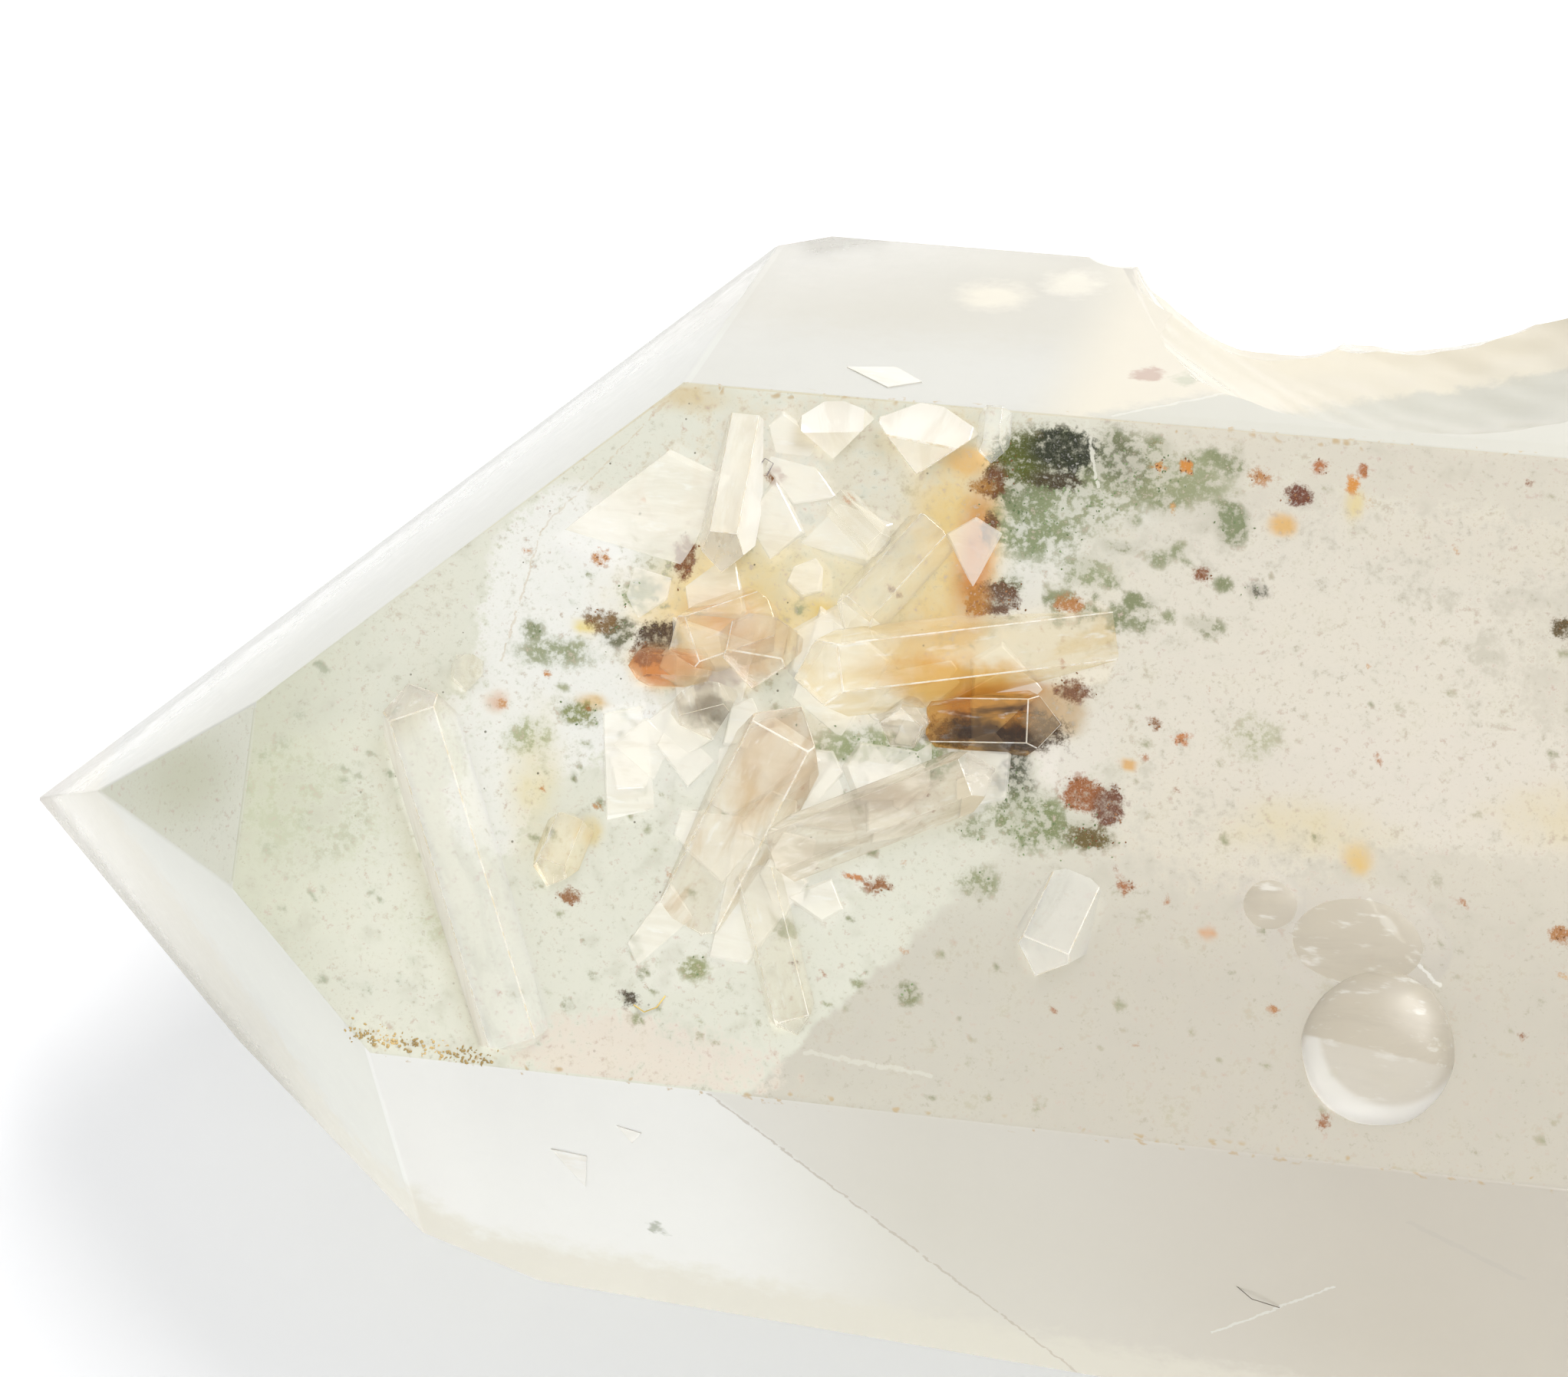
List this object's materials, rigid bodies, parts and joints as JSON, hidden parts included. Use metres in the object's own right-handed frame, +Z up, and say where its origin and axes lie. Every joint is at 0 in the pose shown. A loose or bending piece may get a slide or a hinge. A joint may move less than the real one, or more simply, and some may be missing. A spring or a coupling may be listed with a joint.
{
  "type": "chlorite quartz crystal",
  "caption": "Stout quartz point lying on a prism face, with a six-faced end, a chipped edge, a broken base and small crystals grown into its upper face.",
  "frame": {"origin": "on the ground, under the middle of the outline as it lies", "axes": "+Z up, out of the upper prism face; the long axis along X, with the point towards -X; +Y across, towards the chipped edge"},
  "size_m": [0.0749, 0.0407, 0.0291],
  "materials": {
    "quartz": "clear to cloudy natural crystal faces, green chlorite specks and brown iron stains"
  },
  "bodies": {
    "root": {"quartz_crystal": "quartz"}
  },
  "joints": []
}
